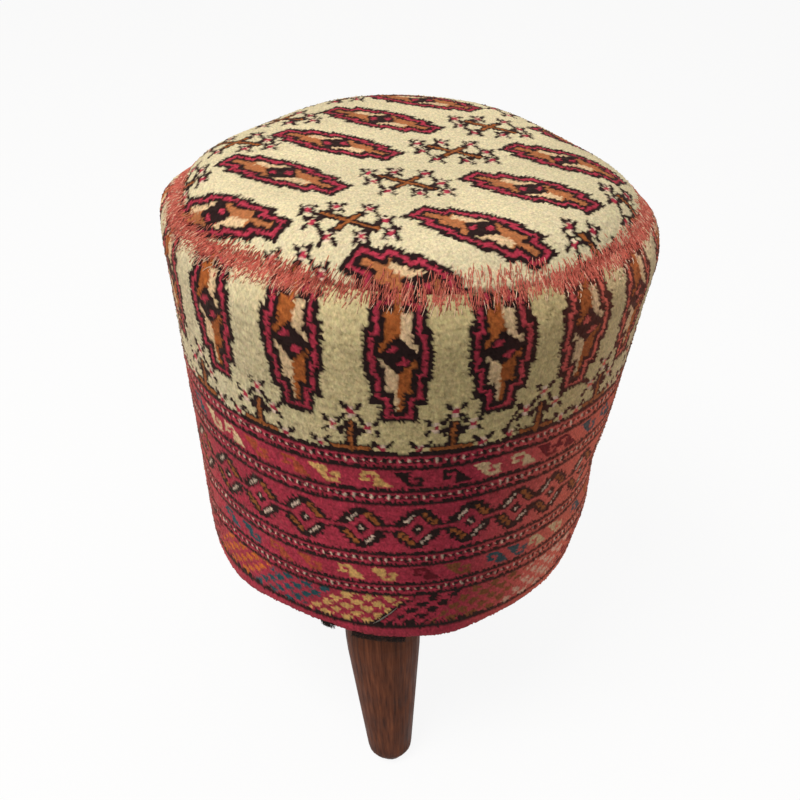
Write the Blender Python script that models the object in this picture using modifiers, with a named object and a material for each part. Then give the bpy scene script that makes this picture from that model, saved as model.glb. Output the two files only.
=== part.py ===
"""Round carpet pouf: a crowned, carpet-covered drum on three splayed, turned wooden legs.

Metres, +Z up. The origin is on the floor below the drum's axis, and the front leg points to -Y.
"""
import math

import bmesh
import bpy
from mathutils import Matrix, Vector

# Drum outline
SEAM_RADIUS = 0.142           # stitched seam between the top and the side carpet
SEAM_HEIGHT = 0.4146
CROWN = 0.0213                # rise of the seat's middle over the seam
CROWN_POWER = 5.0             # flat middle of the seat, which falls off towards the seam
SHOULDER_RADIUS = 0.033       # roll of the carpet from the seam into the side
BASE_RADIUS = 0.139           # outside of the side carpet at its lower edge
DRUM_UNDERSIDE = 0.1554       # floor to the dust cover
LOWER_EDGE_RADIUS = 0.004

# Layers of the drum
CARPET = 0.007                # pile and backing
PADDING = 0.006               # felt round the wall, at its foot
WALL = 0.006                  # bent plywood hoop
SEAT_BOARD = 0.015
SEAT_BOARD_DROP = 0.020       # seam to the top of the seat board
BASE_BOARD = 0.018
BOARD_CHAMFER = 0.001
DUST_COVER = 0.001
DUST_COVER_MARGIN = 0.003     # dust cover's edge inside the carpet's
STITCH_BAND = 0.0095          # reach of the overcast stitches on either side of the seam
STITCH_THICKNESS = 0.0016
STITCH_EDGE = 0.0005

# Legs
LEG_COUNT = 3
LEG_TURN = math.radians(3.4)  # front leg's turn from straight ahead
LEG_SPLAY = math.radians(11.7)
LEG_TWIST = math.radians(24)  # turn of the splay aside from straight out
FOOT_INSET = 0.0205           # foot's middle inside the carpet's lower edge
FOOT_RADIUS = 0.0167
FOOT_ROUND = 0.010
SWELL_RADIUS = 0.0264         # leg's radius where the straight taper ends
SWELL_HEIGHT = 0.103          # along the leg, from the floor
LEG_TOP_RADIUS = 0.0225

# Leg fittings
PLATE_SIDE = 0.054
PLATE_THICKNESS = 0.0025
PLATE_CORNER = 0.007
PLATE_HOLE_SPACING = 0.041
BOLT_RADIUS = 0.004
BOLT_IN_LEG = 0.025
BOLT_IN_BASE = 0.019
BOLT_CHAMFER = 0.0006
SCREW_RADIUS = 0.0018
SCREW_LENGTH = 0.014
SCREW_TIP = 0.003
SCREW_HEAD_RADIUS = 0.0036
SCREW_HEAD = 0.0021
GLIDE_RADIUS = 0.0105
GLIDE_THICKNESS = 0.003
GLIDE_ROUND = 0.001
NAIL_RADIUS = 0.0012
NAIL_LENGTH = 0.012

# Clearance between pieces that touch, and the facets of round pieces
GAP = 0.0003
DRUM_STEPS = 56
LEG_STEPS = 28
GLIDE_STEPS = 20
BOLT_STEPS = 12
SCREW_STEPS = 8
MERGE = 0.00001
CROWN_SHARES = (0.0, 0.3, 0.48, 0.61, 0.71, 0.8, 0.87)  # rings of the seat, as shares of the seam's radius

# Heights and lines that follow from the sizes above
UNDER_BOARD = DRUM_UNDERSIDE + DUST_COVER + GAP
BASE_BOARD_TOP = UNDER_BOARD + BASE_BOARD
SEAT_BOARD_TOP = SEAM_HEIGHT - SEAT_BOARD_DROP
SEAT_BOARD_BOTTOM = SEAT_BOARD_TOP - SEAT_BOARD
PLATE_TOP = DRUM_UNDERSIDE - GAP
PLATE_BOTTOM = PLATE_TOP - PLATE_THICKNESS
LEG_TOP = PLATE_BOTTOM - GAP
FOOT_SOLE = GLIDE_THICKNESS + GAP
FOOT_CIRCLE = BASE_RADIUS - FOOT_INSET
ALONG_LEG = 1.0 / math.cos(LEG_SPLAY)
UNDER_CARPET = CARPET + GAP

SEAM_SLOPE = math.atan2(CROWN_POWER * CROWN, SEAM_RADIUS)
SHOULDER_CENTRE = Vector((SEAM_RADIUS - SHOULDER_RADIUS * math.sin(SEAM_SLOPE),
                          SEAM_HEIGHT - SHOULDER_RADIUS * math.cos(SEAM_SLOPE)))
SIDE_FOOT = Vector((BASE_RADIUS, UNDER_BOARD))


def tangent_angle():
    """Angle, from straight up, at which the shoulder's arc runs into the straight side."""
    to_foot = SIDE_FOOT - SHOULDER_CENTRE
    drop = math.atan2(to_foot.x, -to_foot.y)
    return math.pi - drop - math.acos(SHOULDER_RADIUS / to_foot.length)


def spread(first, last, count):
    """Evenly spaced values from first to last."""
    return [first + (last - first) * i / (count - 1) for i in range(count)]


SIDE_ANGLE = tangent_angle()
STITCH_ANGLE = SEAM_SLOPE + STITCH_BAND / SHOULDER_RADIUS
SHOULDER_ANGLES = spread(SEAM_SLOPE, STITCH_ANGLE, 3) + spread(STITCH_ANGLE, SIDE_ANGLE, 4)[1:]


def dome_point(share, inset=0.0):
    """Point of the crowned top at a share of the seam's radius, moved in by inset along the normal."""
    radius = share * SEAM_RADIUS
    slope = math.atan2(CROWN_POWER * CROWN * share ** (CROWN_POWER - 1.0), SEAM_RADIUS)
    height = SEAM_HEIGHT + CROWN * (1.0 - share ** CROWN_POWER)
    return (radius - inset * math.sin(slope), height - inset * math.cos(slope))


def shoulder_point(angle, inset=0.0):
    """Point of the rolled shoulder at an angle from straight up."""
    reach = SHOULDER_RADIUS - inset
    return (SHOULDER_CENTRE.x + reach * math.sin(angle), SHOULDER_CENTRE.y + reach * math.cos(angle))


def side_radius(height, inset=0.0):
    """Radius of the straight, tapered side at a height, or of the shoulder above it."""
    reach = SHOULDER_RADIUS - inset
    if height > shoulder_point(SIDE_ANGLE, inset)[1]:
        return SHOULDER_CENTRE.x + math.sqrt(max(0.0, reach ** 2 - (height - SHOULDER_CENTRE.y) ** 2))
    start = shoulder_point(SIDE_ANGLE, inset)
    return start[0] + (start[1] - height) * math.cos(SIDE_ANGLE) / math.sin(SIDE_ANGLE)


def new_collection(name):
    """Collection linked to the scene."""
    collection = bpy.data.collections.new(name)
    bpy.context.scene.collection.children.link(collection)
    return collection


def new_material(name, colour, roughness, metallic=0.0):
    """Principled material of one colour."""
    material = bpy.data.materials.new(name)
    material.use_nodes = True
    shader = material.node_tree.nodes["Principled BSDF"]
    shader.inputs["Base Color"].default_value = (*colour, 1.0)
    shader.inputs["Roughness"].default_value = roughness
    shader.inputs["Metallic"].default_value = metallic
    return material


def add_object(name, mesh, collection, material=None, parent=None):
    """Object that holds a mesh, in a collection."""
    piece = bpy.data.objects.new(name, mesh)
    collection.objects.link(piece)
    piece.parent = parent
    if material:
        mesh.materials.append(material)
    return piece


def turned(name, profile, closed, steps, material, parent=None):
    """Solid of revolution about Z. The profile runs down the outer side first."""
    mesh = bpy.data.meshes.new(name)
    edges = [(i, i + 1) for i in range(len(profile) - 1)]
    if closed:
        edges.append((len(profile) - 1, 0))
    mesh.from_pydata([(radius, 0.0, height) for radius, height in profile], edges, [])
    piece = add_object(name, mesh, PARTS, material, parent)
    screw = piece.modifiers.new("Turn", "SCREW")
    screw.axis = "Z"
    screw.steps = steps
    screw.render_steps = steps
    screw.use_merge_vertices = True
    screw.merge_threshold = MERGE
    screw.use_smooth_shade = True
    return piece


def disc_profile(radius, top, bottom, chamfer):
    """Half section of a round board with chamfered rims."""
    return [(0.0, top), (radius - chamfer, top), (radius, top - chamfer),
            (radius, bottom + chamfer), (radius - chamfer, bottom), (0.0, bottom)]


def cutter(name, mesh_builder):
    """Hidden cutting tool, whose mesh is filled by mesh_builder."""
    mesh = bpy.data.meshes.new(name)
    shape = bmesh.new()
    mesh_builder(shape)
    shape.to_mesh(mesh)
    shape.free()
    tool = add_object(name, mesh, CUTTERS)
    tool.hide_render = True
    tool.display_type = "WIRE"
    return tool


def cut(piece, tool, operation="DIFFERENCE"):
    """Boolean of a piece with a cutting tool."""
    boolean = piece.modifiers.new(tool.name, "BOOLEAN")
    boolean.operation = operation
    boolean.object = tool
    boolean.solver = "EXACT"


def add_rod(shape, place, radius, low, high, steps):
    """Cylinder from low to high along the Z axis of a place, in a bmesh."""
    middle = Matrix.Translation((0.0, 0.0, (low + high) / 2.0))
    bmesh.ops.create_cone(shape, cap_ends=True, segments=steps, radius1=radius, radius2=radius,
                          depth=high - low, matrix=place @ middle)


def leg_azimuth(index):
    """Direction of a leg, with the first one at the front."""
    return -math.pi / 2.0 + LEG_TURN + index * 2.0 * math.pi / LEG_COUNT


def foot_place(index):
    """Frame on the floor below a foot, with its X axis pointing the way that the leg splays."""
    turn = Matrix.Rotation(leg_azimuth(index), 4, "Z")
    return turn @ Matrix.Translation((FOOT_CIRCLE, 0.0, 0.0)) @ Matrix.Rotation(LEG_TWIST, 4, "Z")


def leg_place(index):
    """Foot's frame leaned in by the splay, so that its Z axis is the leg's."""
    return foot_place(index) @ Matrix.Rotation(-LEG_SPLAY, 4, "Y")


def plate_place(index):
    """Level frame where the leg's axis meets the underside of the drum."""
    inward = Matrix.Translation((-PLATE_TOP * math.tan(LEG_SPLAY), 0.0, 0.0))
    return foot_place(index) @ inward


def screw_places(index):
    """Level frames of a plate's four screws."""
    half = PLATE_HOLE_SPACING / 2.0
    corners = [(half, half), (-half, half), (-half, -half), (half, -half)]
    return [plate_place(index) @ Matrix.Translation((x, y, 0.0)) for x, y in corners]


def build_carpet_top():
    """Crowned round of carpet, from the middle of the seat to the seam."""
    shares = [*CROWN_SHARES, 1.0 - STITCH_BAND / SEAM_RADIUS, 1.0 - GAP / SEAM_RADIUS / 2.0]
    outer = [dome_point(share) for share in shares]
    inner = [dome_point(share, CARPET) for share in reversed(shares)]
    turned("carpet_top", outer + inner, False, DRUM_STEPS, MATERIALS["carpet_field"])


def build_carpet_side():
    """Strip of carpet round the drum, from the seam over the shoulder to the lower edge."""
    angles = [SEAM_SLOPE + GAP / SHOULDER_RADIUS / 2.0] + SHOULDER_ANGLES[1:]
    outer = [shoulder_point(angle) for angle in angles]
    inner = [shoulder_point(angle, CARPET) for angle in reversed(angles)]
    low = SIDE_FOOT.y
    edge = LOWER_EDGE_RADIUS
    rim = []
    for angle in spread(0.0, math.pi / 2.0, 3):
        height = low + edge * (1.0 - math.sin(angle))
        rim.append((side_radius(height) - edge * (1.0 - math.cos(angle)), height))
    foot = [(side_radius(low, CARPET), low)]
    turned("carpet_side", outer + rim + foot + inner, True, DRUM_STEPS, MATERIALS["carpet_border"])


def build_edge_stitching():
    """Low, crowned band of overcast stitches that holds the two carpets together along the seam."""
    upper = 1.0 - STITCH_BAND / SEAM_RADIUS
    rise = spread(STITCH_THICKNESS, STITCH_EDGE, 3)
    angles = SHOULDER_ANGLES[:3]
    outer = [dome_point(upper, -GAP - STITCH_EDGE)]
    outer += [shoulder_point(angle, -GAP - height) for angle, height in zip(angles, rise)]
    inner = [shoulder_point(angle, -GAP) for angle in reversed(angles)] + [dome_point(upper, -GAP)]
    turned("edge_stitching", outer + inner, True, DRUM_STEPS, MATERIALS["stitching"])


def build_seat_foam():
    """Domed foam pad between the seat board and the top carpet."""
    dome = [dome_point(share, UNDER_CARPET) for share in (*CROWN_SHARES, 1.0)]
    low = SEAT_BOARD_TOP + GAP
    reach = SHOULDER_RADIUS - UNDER_CARPET
    last = math.acos((low - SHOULDER_CENTRE.y) / reach)
    angles = [angle for angle in SHOULDER_ANGLES[1:] if angle < last] + [last]
    shoulder = [shoulder_point(angle, UNDER_CARPET) for angle in angles]
    turned("seat_foam", dome + shoulder + [(0.0, low)], False, DRUM_STEPS, MATERIALS["foam"])


def wall_radius(height):
    """Outside of the plywood hoop, parallel to the tapered side."""
    return side_radius(height, UNDER_CARPET + PADDING + GAP)


def build_drum_core():
    """Boards, plywood hoop and felt under the carpet."""
    top = SEAT_BOARD_BOTTOM - GAP
    low = BASE_BOARD_TOP + GAP
    thickness = WALL / math.sin(SIDE_ANGLE)
    turned("drum_wall", [(wall_radius(top), top), (wall_radius(low), low),
                         (wall_radius(low) - thickness, low), (wall_radius(top) - thickness, top)],
           True, DRUM_STEPS, MATERIALS["plywood"])
    seat = disc_profile(wall_radius(SEAT_BOARD_BOTTOM), SEAT_BOARD_TOP, SEAT_BOARD_BOTTOM, BOARD_CHAMFER)
    turned("seat_board", seat, False, DRUM_STEPS, MATERIALS["plywood"])
    base = disc_profile(wall_radius(UNDER_BOARD), BASE_BOARD_TOP, UNDER_BOARD, BOARD_CHAMFER)
    base_board = turned("base_board", base, False, DRUM_STEPS, MATERIALS["plywood"])
    heights = [SEAT_BOARD_TOP, shoulder_point(SIDE_ANGLE, UNDER_CARPET)[1], UNDER_BOARD]
    felt_out = [(side_radius(height, UNDER_CARPET), height) for height in heights]
    felt_in = [(wall_radius(height) + GAP, height) for height in (UNDER_BOARD, SEAT_BOARD_BOTTOM)]
    felt_in.append((wall_radius(SEAT_BOARD_BOTTOM) + GAP, SEAT_BOARD_TOP))
    turned("side_padding", felt_out + felt_in, True, DRUM_STEPS, MATERIALS["felt"])
    cover = disc_profile(BASE_RADIUS - DUST_COVER_MARGIN, DRUM_UNDERSIDE + DUST_COVER, DRUM_UNDERSIDE, 0.0)
    dust_cover = turned("dust_cover", [cover[0], cover[1], cover[4], cover[5]], False, DRUM_STEPS,
                        MATERIALS["dust_cloth"])
    return base_board, dust_cover


def leg_profile():
    """Half section of a leg along its own axis: rolled top, straight taper and rounded foot."""
    top = LEG_TOP * ALONG_LEG + 2.0 * LEG_TOP_RADIUS * math.tan(LEG_SPLAY)
    taper = (SWELL_RADIUS - FOOT_RADIUS) / (SWELL_HEIGHT - FOOT_ROUND)
    rise = LEG_TOP * ALONG_LEG - SWELL_HEIGHT
    roll = (SWELL_RADIUS + taper * rise - LEG_TOP_RADIUS) / rise ** 2
    profile = [(0.0, top)]
    for height in spread(top, SWELL_HEIGHT, 6):
        over = height - SWELL_HEIGHT
        profile.append((SWELL_RADIUS + taper * over - roll * over ** 2, height))
    for angle in spread(0.0, math.pi / 2.0, 5):
        profile.append((FOOT_RADIUS - FOOT_ROUND * (1.0 - math.cos(angle)),
                        FOOT_ROUND * (1.0 - math.sin(angle))))
    return profile + [(0.0, 0.0)]


def build_legs(slab, bolt_holes, nail_holes):
    """Splayed, turned legs, cut level at the plate and at the floor, with bolts and glides."""
    for index, place in enumerate(("front", "back_right", "back_left")):
        frame = bpy.data.objects.new(f"leg_frame_{place}", None)
        PARTS.objects.link(frame)
        frame.matrix_world = leg_place(index)
        leg = turned(f"leg_{place}", leg_profile(), False, LEG_STEPS, MATERIALS["leg_wood"], frame)
        cut(leg, slab, "INTERSECT")
        cut(leg, bolt_holes)
        cut(leg, nail_holes)
        middle = LEG_TOP * ALONG_LEG
        high = middle + BOLT_IN_BASE
        low = middle - BOLT_IN_LEG
        turned(f"leg_bolt_{place}", disc_profile(BOLT_RADIUS, high, low, BOLT_CHAMFER), False,
               BOLT_STEPS, MATERIALS["steel"], frame)
        glide = turned(f"foot_glide_{place}", glide_profile(), False, GLIDE_STEPS, MATERIALS["nylon"])
        glide.matrix_world = foot_place(index)


def glide_profile():
    """Half section of a nail-on glide."""
    tip = GLIDE_THICKNESS + NAIL_LENGTH
    return [(0.0, tip), (NAIL_RADIUS, tip - NAIL_RADIUS), (NAIL_RADIUS, GLIDE_THICKNESS),
            (GLIDE_RADIUS, GLIDE_THICKNESS), (GLIDE_RADIUS, GLIDE_ROUND),
            (GLIDE_RADIUS - GLIDE_ROUND, 0.0), (0.0, 0.0)]


def screw_profile():
    """Half section of a pan-head screw, pointing up into the base board, with its head below."""
    seat = PLATE_BOTTOM - GAP
    tip = seat + SCREW_LENGTH
    return [(0.0, tip), (SCREW_RADIUS, tip - SCREW_TIP), (SCREW_RADIUS, seat),
            (SCREW_HEAD_RADIUS, seat), (SCREW_HEAD_RADIUS, seat - SCREW_HEAD / 2.0),
            (SCREW_HEAD_RADIUS / 2.0, seat - SCREW_HEAD), (0.0, seat - SCREW_HEAD)]


def plate_mesh(name):
    """Square plate with rounded corners."""
    shape = bmesh.new()
    size = Matrix.Diagonal((PLATE_SIDE, PLATE_SIDE, PLATE_THICKNESS, 1.0))
    height = Matrix.Translation((0.0, 0.0, PLATE_BOTTOM + PLATE_THICKNESS / 2.0))
    bmesh.ops.create_cube(shape, size=1.0, matrix=height @ size)
    upright = [edge for edge in shape.edges if abs(edge.verts[0].co.z - edge.verts[1].co.z) > MERGE]
    bmesh.ops.bevel(shape, geom=upright, offset=PLATE_CORNER, segments=3, profile=0.5, affect="EDGES")
    mesh = bpy.data.meshes.new(name)
    shape.to_mesh(mesh)
    shape.free()
    return mesh


def build_plates(bolt_holes, screw_holes):
    """Steel leg plates and the screws that hold them to the base board."""
    for index, place in enumerate(("front", "back_right", "back_left")):
        plate = add_object(f"leg_plate_{place}", plate_mesh("leg_plate"), PARTS, MATERIALS["steel"])
        plate.matrix_world = plate_place(index)
        cut(plate, bolt_holes)
        cut(plate, screw_holes)
        for number, spot in enumerate(screw_places(index), start=1):
            screw = turned(f"plate_screw_{place}_{number}", screw_profile(), False, SCREW_STEPS,
                           MATERIALS["steel"])
            screw.matrix_world = spot


def add_bolt_holes(shape):
    """Leaning holes for the leg bolts."""
    middle = LEG_TOP * ALONG_LEG
    for index in range(LEG_COUNT):
        add_rod(shape, leg_place(index), BOLT_RADIUS + GAP, middle - BOLT_IN_LEG - GAP,
                middle + 2.0 * BOLT_IN_BASE, BOLT_STEPS)


def add_screw_holes(shape):
    """Pilot holes for the plate screws."""
    for index in range(LEG_COUNT):
        for spot in screw_places(index):
            add_rod(shape, spot, SCREW_RADIUS + GAP, PLATE_BOTTOM - SCREW_HEAD,
                    PLATE_BOTTOM + SCREW_LENGTH + GAP, SCREW_STEPS)


def add_nail_holes(shape):
    """Holes for the glides' nails."""
    for index in range(LEG_COUNT):
        add_rod(shape, foot_place(index), NAIL_RADIUS + GAP, 0.0,
                GLIDE_THICKNESS + NAIL_LENGTH + GAP, GLIDE_STEPS)


def add_leg_slab(shape):
    """Level slab between the glides and the plates, to which the legs are cut."""
    span = 4.0 * (FOOT_CIRCLE + FOOT_RADIUS)
    size = Matrix.Diagonal((span, span, LEG_TOP - FOOT_SOLE, 1.0))
    middle = Matrix.Translation((0.0, 0.0, (LEG_TOP + FOOT_SOLE) / 2.0))
    bmesh.ops.create_cube(shape, size=1.0, matrix=middle @ size)


for old in list(bpy.data.objects):
    bpy.data.objects.remove(old, do_unlink=True)

PARTS = new_collection("carpet_pouf")
CUTTERS = new_collection("cutters")
MATERIALS = {
    "carpet_field": new_material("carpet_field", (0.60, 0.50, 0.35), 0.95),
    "carpet_border": new_material("carpet_border", (0.36, 0.07, 0.08), 0.95),
    "stitching": new_material("stitching", (0.60, 0.23, 0.15), 0.9),
    "foam": new_material("foam", (0.82, 0.76, 0.55), 0.95),
    "felt": new_material("felt", (0.42, 0.40, 0.38), 0.95),
    "plywood": new_material("plywood", (0.62, 0.46, 0.28), 0.7),
    "dust_cloth": new_material("dust_cloth", (0.02, 0.02, 0.02), 0.95),
    "leg_wood": new_material("leg_wood", (0.13, 0.06, 0.035), 0.45),
    "steel": new_material("steel", (0.55, 0.55, 0.54), 0.4, 1.0),
    "nylon": new_material("nylon", (0.06, 0.05, 0.045), 0.5),
}

build_carpet_top()
build_carpet_side()
build_edge_stitching()
build_seat_foam()
BASE, COVER = build_drum_core()
BOLT_HOLES = cutter("bolt_holes", add_bolt_holes)
SCREW_HOLES = cutter("screw_holes", add_screw_holes)
build_legs(cutter("leg_slab", add_leg_slab), BOLT_HOLES, cutter("nail_holes", add_nail_holes))
build_plates(BOLT_HOLES, SCREW_HOLES)
for board in (BASE, COVER):
    cut(board, BOLT_HOLES)
    cut(board, SCREW_HOLES)
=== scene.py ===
"""Looks of the carpet pouf: knotted pile carpet, overcast seam, turned walnut legs and a pale studio.

Lengths are in metres unless a name says otherwise. The drum's skin is measured along its profile: down
is the distance along the skin below the seam, and azimuth is the turn from the front towards the right.
The carpet is laid out in knots: across counts knots along the weft, and row counts knot rows along the warp.
"""
import math

import bpy
import numpy as np
from mathutils import Matrix, Vector


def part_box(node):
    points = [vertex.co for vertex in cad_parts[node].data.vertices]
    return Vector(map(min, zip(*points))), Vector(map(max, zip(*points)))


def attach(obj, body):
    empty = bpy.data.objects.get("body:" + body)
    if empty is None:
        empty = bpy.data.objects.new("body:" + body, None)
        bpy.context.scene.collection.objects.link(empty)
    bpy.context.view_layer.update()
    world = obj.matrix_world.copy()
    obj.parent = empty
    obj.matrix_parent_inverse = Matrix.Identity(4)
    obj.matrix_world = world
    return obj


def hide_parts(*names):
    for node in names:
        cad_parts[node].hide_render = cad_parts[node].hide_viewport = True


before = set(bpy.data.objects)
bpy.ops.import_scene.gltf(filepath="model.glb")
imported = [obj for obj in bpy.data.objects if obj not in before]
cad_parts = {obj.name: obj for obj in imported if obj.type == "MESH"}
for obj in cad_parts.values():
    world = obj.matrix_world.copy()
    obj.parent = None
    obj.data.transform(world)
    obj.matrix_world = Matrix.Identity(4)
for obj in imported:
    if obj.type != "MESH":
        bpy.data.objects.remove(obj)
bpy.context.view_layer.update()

# Skin of the drum, as in the CAD model, with the seat plumped up inside its seam
PLUMP_POWER = 11.0
SEAM_RADIUS = 0.142
SEAM_HEIGHT = 0.4146
CROWN = 0.0213
CROWN_POWER = 5.0
SHOULDER_RADIUS = 0.033
BASE_RADIUS = 0.139
LOWER_EDGE_RADIUS = 0.004
CARPET = 0.007
GAP = 0.0003
DRUM_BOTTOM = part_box("carpet_side")[0].z

# Knots of the side carpet, and its bands as knot rows below the seam
KNOTS_ROUND = 364
ROW_HEIGHT = 0.002573
FIRST_DOWN = -0.002
SIDE_ROWS = 103
LINE_ROWS = (39.5, 43.5, 50.5, 54.5, 71.5, 75.5, 82.5, 86.5, 98.5)
DOT_ROWS = (41.5, 52.5, 73.5, 84.5)
FIELD_END = 39.5
GUL_ROW = 13.5
FLOWER_ROW = 38.2
ROSETTE_ROW = 63.0
SLIT_TURN = 24.3
GUL_TURNS = (-43.3, -21.8, -0.2, 20.3, 39.3, 58.0) + tuple(77.0 + 20.0 * step for step in range(12))
FLOWER_TURNS = (-51.3, -31.8, -10.1, 11.4, 31.0, 49.6) + tuple(69.0 + 20.0 * step for step in range(12))
ROSETTE_TURNS = (-47.4, -35.1, -21.8, -7.5, 5.7, 18.2, 30.4, 41.3) + tuple(54.2 + 12.92 * step for step in range(20))
HOOK_CYCLE = ("teal", "orange", "gold", "oxblood", "ivory")
LATER_HOOKS = tuple((60.0 + 19.0 * pair + 8.5 * later, 2 * later - 1, HOOK_CYCLE[(pair + later) % 5])
                    for pair in range(13) for later in (0, 1))
UPPER_HOOKS = ((-57.5, -1, "teal"), (-50.0, 1, "ivory"),
               (-41.9, -1, "ivory"), (-34.3, 1, "smudge"), (-23.5, -1, "smudge"), (-16.1, 1, "gold"),
               (-4.7, -1, "gold"), (2.7, 1, "black"), (13.4, -1, "black"), (20.5, 1, "ivory"), (29.5, -1, "ivory"),
               (36.4, 1, "oxblood"), (42.4, -1, "oxblood"), (51.0, 1, "teal"))
LOWER_HOOKS = ((-48.6, -1, "teal"), (-40.3, 1, "teal"), (-30.2, -1, "smudge"), (-21.4, 1, "smudge"),
               (-10.2, -1, "gold"), (-1.9, 1, "gold"), (8.8, -1, "oxblood"), (17.0, 1, "olive"), (28.0, -1, "teal"),
               (33.9, 1, "teal"), (41.0, -1, "ivory"), (48.4, 1, "ivory"))

# Knots of the top carpet, its weft and warp, how far the weft leans, and its motifs: the middle of each,
# and a gul's skew, stretch and narrowing
TOP_KNOT = 0.0025
WEFT = np.array((0.4226, 0.9063))
WARP = np.array((0.9063, -0.4226))
WEFT_LEAN = math.radians(12.0)
TOP_GULS = ((-0.1095, -0.0830, 0.11, 1.28, 1.18), (-0.0750, -0.0467, 0.09, 1.06, 1.0), (-0.0482, 0.0038, -0.01, 1.02, 1.0),
            (-0.0227, 0.0520, 0.0, 1.0, 1.0), (0.0040, 0.0985, -0.08, 1.0, 1.0), (0.0376, -0.1037, -0.06, 0.955, 1.0),
            (0.0675, -0.0508, -0.04, 0.97, 1.0), (0.0925, -0.0017, 0.02, 0.97, 1.0), (0.1160, 0.0490, 0.0, 1.0, 1.0),
            (0.0062, -0.1465, 0.0, 1.0, 1.0))
TOP_FLOWERS = ((-0.0322, -0.1036), (-0.0030, -0.0511), (0.0245, 0.0005), (0.0487, 0.0492), (0.0737, 0.0980),
               (-0.0890, 0.0555), (-0.1095, 0.0038), (-0.0640, 0.1060), (-0.1450, -0.0340), (-0.0652, -0.1395),
               (0.1085, -0.0995), (0.1360, -0.0475))

# Grey thread across the outer border: azimuth, middle below the seam, length, height and slant
GREY_THREAD = np.array(((-0.017, 0.2452, 0.0285, 0.0009, 0.705), (-0.014, 0.2450, 0.026, 0.0011, 0.68)))

# Pile
PILE_RELIEF = 0.0006
PILE_LEAN = 0.0003
KNOT_SPREAD = 0.00022

PALETTE = {
    "cream": (216, 203, 166),
    "black": (38, 23, 23),
    "crimson": (178, 55, 75),
    "orange": (168, 93, 46),
    "ivory": (222, 190, 148),
    "gold": (224, 176, 108),
    "teal": (34, 84, 92),
    "brown": (160, 92, 48),
    "white": (230, 202, 180),
    "oxblood": (108, 22, 36),
    "olive": (138, 82, 50),
    "rose": (236, 184, 160),
    "smudge": (176, 80, 54),
    "rust": (216, 114, 50),
}
INK = {name: number for number, name in enumerate(PALETTE)}


def linear(colour):
    """Linear colour of an 8-bit display colour."""
    share = np.asarray(colour, float) / 255.0
    return np.where(share <= 0.04045, share / 12.92, ((share + 0.055) / 1.055) ** 2.4)


def skin_profile():
    """Distance below the seam, radius, height and outward angle along the drum's skin, from its middle."""
    share = np.linspace(0.0, 1.0, 300)
    radius = [share * SEAM_RADIUS]
    height = [SEAM_HEIGHT + CROWN * (1.0 - share ** PLUMP_POWER)]
    angle = [np.arctan2(PLUMP_POWER * CROWN * share ** (PLUMP_POWER - 1.0), SEAM_RADIUS)]
    slope = math.atan2(CROWN_POWER * CROWN, SEAM_RADIUS)
    centre = Vector((SEAM_RADIUS - SHOULDER_RADIUS * math.sin(slope),
                     SEAM_HEIGHT - SHOULDER_RADIUS * math.cos(slope)))
    foot = Vector((BASE_RADIUS, DRUM_BOTTOM)) - centre
    side = math.pi - math.atan2(foot.x, -foot.y) - math.acos(SHOULDER_RADIUS / foot.length)
    turn = np.linspace(slope, side, 80)[1:]
    radius.append(centre.x + SHOULDER_RADIUS * np.sin(turn))
    height.append(centre.y + SHOULDER_RADIUS * np.cos(turn))
    angle.append(turn)
    roll = np.linspace(side, math.pi, 24)
    edge = LOWER_EDGE_RADIUS
    rim = BASE_RADIUS + edge * math.cos(side) / math.sin(side) - edge
    radius.append(rim + edge * np.sin(roll))
    height.append(DRUM_BOTTOM + edge + edge * np.cos(roll))
    angle.append(roll)
    radius, height, angle = (np.concatenate(values) for values in (radius, height, angle))
    along = np.concatenate(([0.0], np.cumsum(np.hypot(np.diff(radius), np.diff(height)))))
    return along - along[len(share) - 1], radius, height, angle


SKIN_DOWN, SKIN_RADIUS, SKIN_HEIGHT, SKIN_ANGLE = skin_profile()
TOP_REACH = -SKIN_DOWN[0]
SIDE_REACH = SKIN_DOWN[-1]


def unevenness(down, azimuth):
    """How far the hand-made drum stands out from its true round, along the skin's normal."""
    turn = (np.degrees(azimuth) + 180.0) % 360.0 - 180.0
    aside = np.abs(turn)
    near_seam = np.exp(-((down + 0.01) / 0.04) ** 2)
    right = 0.0026 * np.exp(-((down - 0.009) / 0.021) ** 2 - ((turn - 82.0) / 15.0) ** 2)
    left = 0.0048 * np.exp(-((down - 0.019) / 0.012) ** 2 - ((turn + 90.0) / 12.0) ** 2)
    waist = 0.0014 * np.exp(-((down - 0.06) / 0.05) ** 2 - ((turn + 82.0) / 15.0) ** 2)
    shoulder = right + left - waist
    sag = 0.0095 * np.exp(-((aside - 122.0) / 28.0) ** 2) + 0.002 * np.exp(-((aside - 180.0) / 30.0) ** 2)
    low_left = 0.002 * np.exp(-((down - 0.24) / 0.045) ** 2 - ((turn + 62.0) / 16.0) ** 2)
    flank = 0.002 * np.exp(-((down - 0.226) / 0.018) ** 2) - 0.0022 * np.exp(-((down - 0.178) / 0.024) ** 2)
    flank = flank * np.exp(-((turn - 72.0) / 18.0) ** 2)
    return shoulder - near_seam * sag + low_left + flank


def skin_point(down, azimuth, lift=0.0):
    """Points on the skin, lifted along its normal, and that normal."""
    angle = np.interp(down, SKIN_DOWN, SKIN_ANGLE)
    lift = lift + unevenness(down, azimuth)
    radius = np.interp(down, SKIN_DOWN, SKIN_RADIUS) + lift * np.sin(angle)
    height = np.interp(down, SKIN_DOWN, SKIN_HEIGHT) + lift * np.cos(angle)
    outward = np.stack((np.sin(azimuth), -np.cos(azimuth)), -1)
    points = np.concatenate((radius[..., None] * outward, height[..., None]), -1)
    normals = np.concatenate((np.sin(angle)[..., None] * outward, np.cos(angle)[..., None]), -1)
    return points, normals


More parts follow.
